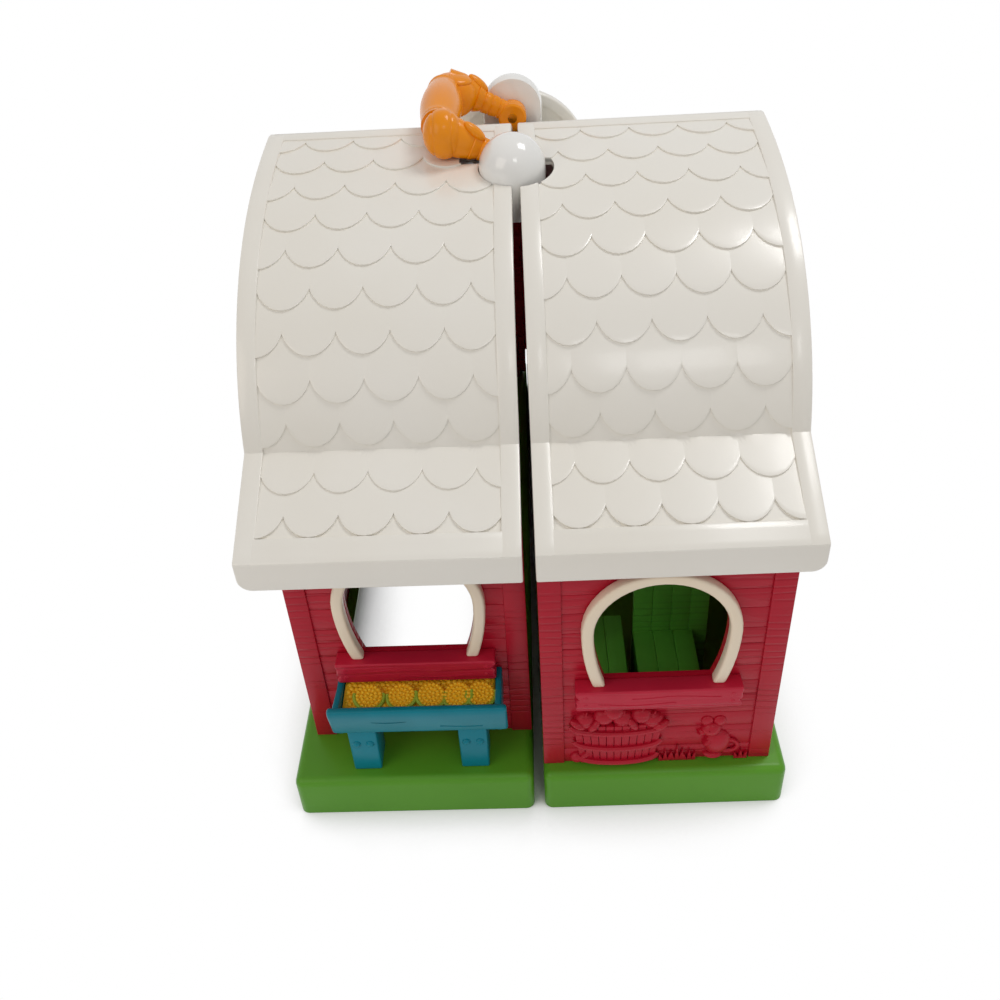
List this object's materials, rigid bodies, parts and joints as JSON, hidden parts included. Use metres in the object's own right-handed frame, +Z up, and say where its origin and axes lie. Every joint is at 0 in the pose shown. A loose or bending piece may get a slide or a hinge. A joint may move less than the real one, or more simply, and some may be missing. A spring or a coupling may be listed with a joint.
{
  "type": "toy barn",
  "caption": "Toy barn that splits into hinged halves, with a curved shingle roof, arched windows, a feed trough, swinging gable doors and a folding carry handle.",
  "frame": {"origin": "on the ground under the middle of the whole barn as it stands, the right half a little ajar", "axes": "+X along the ridge to the right, +Y to the back where the barn hinge is, +Z up"},
  "size_m": [0.2042, 0.3409, 0.2467],
  "materials": {
    "roof_cream": "glossy cream plastic with moulded shingles",
    "barn_red": "satin crimson plastic with moulded planks and grain",
    "base_green": "satin grass green plastic",
    "frame_cream": "satin cream plastic",
    "trough_teal": "satin teal plastic with moulded grain",
    "corn_yellow": "satin yellow plastic kernels",
    "dome_white": "polished white plastic",
    "handle_orange": "polished orange yellow plastic",
    "stall_green": "satin leaf green plastic",
    "steel": "plain bright steel"
  },
  "bodies": {
    "left_half": {"roof_left": "roof_cream", "dormer_left": "roof_cream", "handle_bracket": "roof_cream", "wall_left": "barn_red", "sill_left": "barn_red", "hinge_leaf_left": "barn_red", "base_left": "base_green", "window_frame_left": "frame_cream", "gable_trim_left": "frame_cream", "loft_ring_left": "frame_cream", "trough": "trough_teal", "trough_legs": "trough_teal", "corn": "corn_yellow", "dome_front": "dome_white", "dome_rear": "dome_white", "handle_pins": "steel", "bracket_screws": "steel", "door_pins_left": "steel", "base_screws_left": "steel", "hinge_screws_left": "steel", "hinge_pin": "steel"},
    "right_half": {"base_right": "base_green", "wall_right": "barn_red", "roof_right": "roof_cream", "dormer_right": "roof_cream", "window_frame_right": "frame_cream", "sill_right": "barn_red", "stall_bench": "stall_green", "stall_panel": "stall_green", "feed_bin": "stall_green", "gable_trim_right": "frame_cream", "loft_ring_right": "frame_cream", "door_pins_right": "steel", "base_screws_right": "steel", "hinge_leaf_right": "barn_red", "hinge_screws_right": "steel"},
    "handle": {"handle_arm_front": "handle_orange", "handle_arm_rear": "handle_orange", "handle_grip": "handle_orange", "handle_tie_rod": "steel"},
    "left_front_door": {"door_left_front": "barn_red"},
    "left_rear_door": {"door_left_rear": "barn_red"},
    "right_front_door": {"door_right_front": "barn_red"},
    "right_rear_door": {"door_right_rear": "barn_red"}
  },
  "joints": [
    {"name": "barn_hinge", "type": "hinge", "parent": "left_half", "child": "right_half", "pos_m": [-0.00205, 0.16595, 0.075], "axis": [0, 0, 1], "range_deg": [-0.7, 178]},
    {"name": "handle_pivot", "type": "hinge", "parent": "left_half", "child": "handle", "pos_m": [-0.00205, -0.00505, 0.2261], "axis": [0, 1, 0], "range_deg": [0, 88]},
    {"name": "left_front_door_hinge", "type": "hinge", "parent": "left_half", "child": "left_front_door", "pos_m": [-0.0987, -0.04325, 0.068], "axis": [0, 0, 1], "range_deg": [0, 110]},
    {"name": "left_rear_door_hinge", "type": "hinge", "parent": "left_half", "child": "left_rear_door", "pos_m": [-0.0987, 0.03315, 0.068], "axis": [0, 0, -1], "range_deg": [0, 110]},
    {"name": "right_rear_door_hinge", "type": "hinge", "parent": "right_half", "child": "right_rear_door", "pos_m": [0.09621, 0.03434, 0.068], "axis": [0, 0, 1], "range_deg": [0, 110]},
    {"name": "right_front_door_hinge", "type": "hinge", "parent": "right_half", "child": "right_front_door", "pos_m": [0.09715, -0.04205, 0.068], "axis": [0, 0, -1], "range_deg": [0, 110]}
  ]
}
